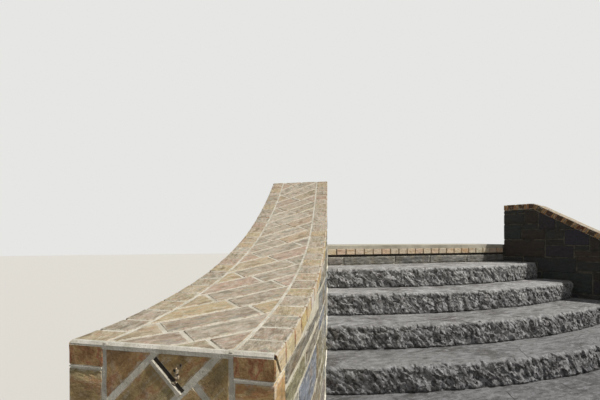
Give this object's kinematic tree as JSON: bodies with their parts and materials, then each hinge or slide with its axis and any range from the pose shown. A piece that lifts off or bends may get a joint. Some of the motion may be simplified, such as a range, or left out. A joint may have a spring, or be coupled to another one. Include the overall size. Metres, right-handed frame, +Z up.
{
  "type": "bow-fronted stone entrance steps with flared brick-capped walls",
  "caption": "Outdoor entrance steps: bow-fronted rock-faced slabs rise to a landing between two outward-curving stone walls whose brick caps sweep down to low square ends.",
  "frame": {"origin": "on the ground, at the bottom centre of the whole piece", "axes": "+Z up, +X across the flight to the right of someone climbing it, +Y the way that they climb"},
  "size_m": [5.3626, 2.953, 1.883],
  "materials": {
    "step_stone": "rock-faced fronts, slate-textured tops",
    "band_stone": "split face",
    "veneer_stone": "split face, mortared",
    "cap_brick": "fired clay brick, sanded face",
    "end_brick": "fired clay brick, rough face",
    "course_brick": "fired clay brick",
    "concrete": "cast",
    "landing_concrete": "trowelled and textured"
  },
  "bodies": {
    "root": {"step_1": "step_stone", "step_2": "step_stone", "step_3": "step_stone", "step_4": "step_stone", "step_5": "step_stone", "step_6": "step_stone", "step_core": "concrete", "landing_core": "concrete", "landing_stone_band": "band_stone", "landing_brick_course": "course_brick", "landing_slab": "landing_concrete", "left_wall_core": "concrete", "left_inner_stone_face": "veneer_stone", "left_outer_stone_face": "veneer_stone", "left_cap_inner_border": "cap_brick", "left_cap_field": "cap_brick", "left_cap_outer_border": "cap_brick", "left_end_inner_pier": "end_brick", "left_end_panel": "end_brick", "left_end_outer_pier": "end_brick", "right_wall_core": "concrete", "right_inner_stone_face": "veneer_stone", "right_outer_stone_face": "veneer_stone", "right_cap_inner_border": "cap_brick", "right_cap_field": "cap_brick", "right_cap_outer_border": "cap_brick", "right_end_inner_pier": "end_brick", "right_end_panel": "end_brick", "right_end_outer_pier": "end_brick"}
  },
  "joints": []
}
